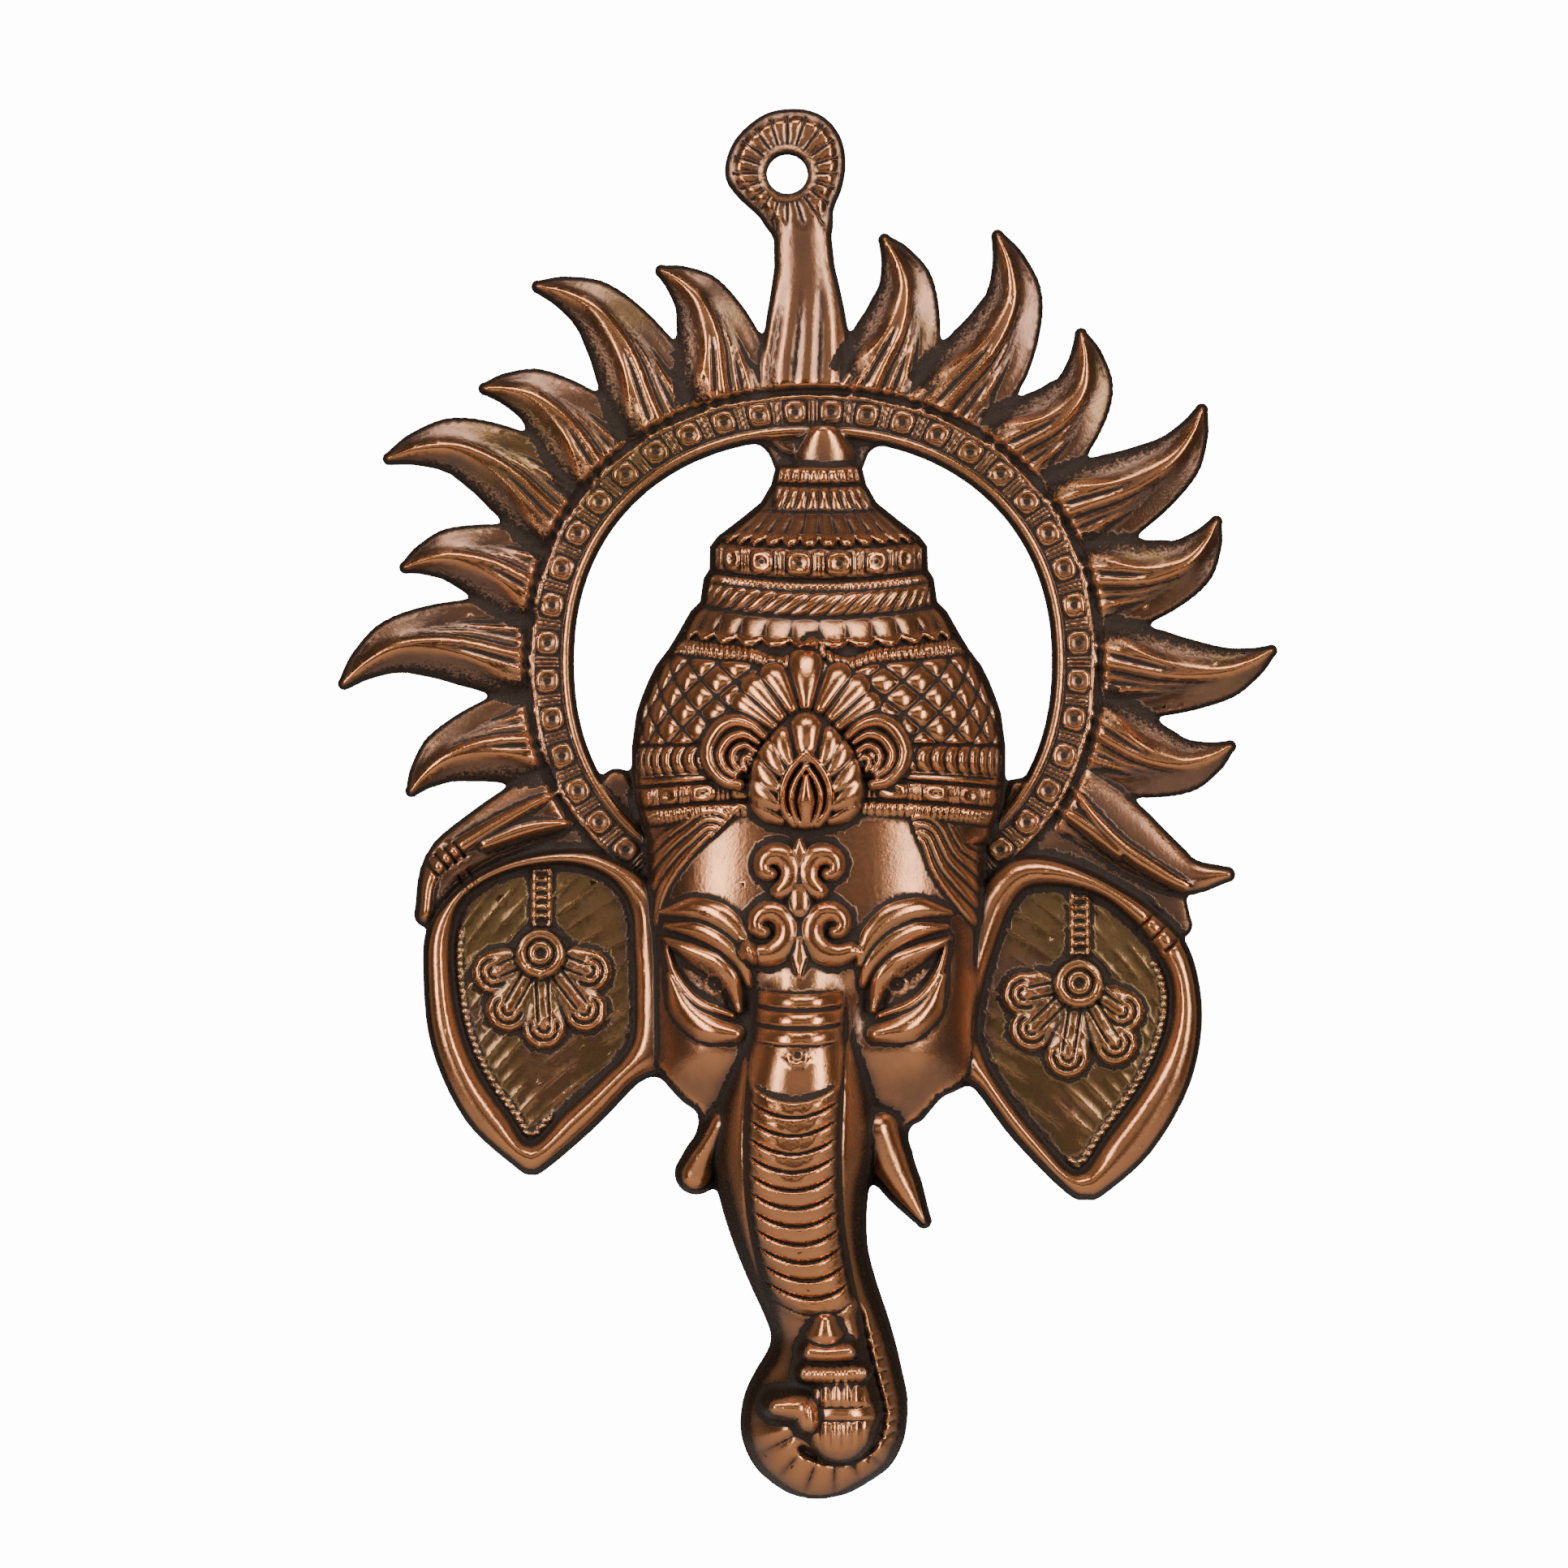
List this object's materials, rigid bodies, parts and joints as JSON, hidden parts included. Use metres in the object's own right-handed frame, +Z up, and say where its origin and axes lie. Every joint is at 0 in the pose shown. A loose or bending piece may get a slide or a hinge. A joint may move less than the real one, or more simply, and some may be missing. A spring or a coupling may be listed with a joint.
{
  "type": "ganesha wall hanging",
  "caption": "Cast metal relief of an elephant head under a tall crown, in a ring of flames, with a loop on top that hangs on a nail.",
  "frame": {"origin": "middle of the hanging hole, on the wall plane", "axes": "+Z up, the back lies on the wall plane Y = 0 and the relief faces -Y, +X to the right as seen from the front"},
  "size_m": [0.1735, 0.0283, 0.2569],
  "materials": {
    "antique_copper": "white metal casting plated with copper, darkened in the recesses and polished on the crests"
  },
  "bodies": {
    "root": {"ganesha_wall_hanging": "antique_copper"}
  },
  "joints": []
}
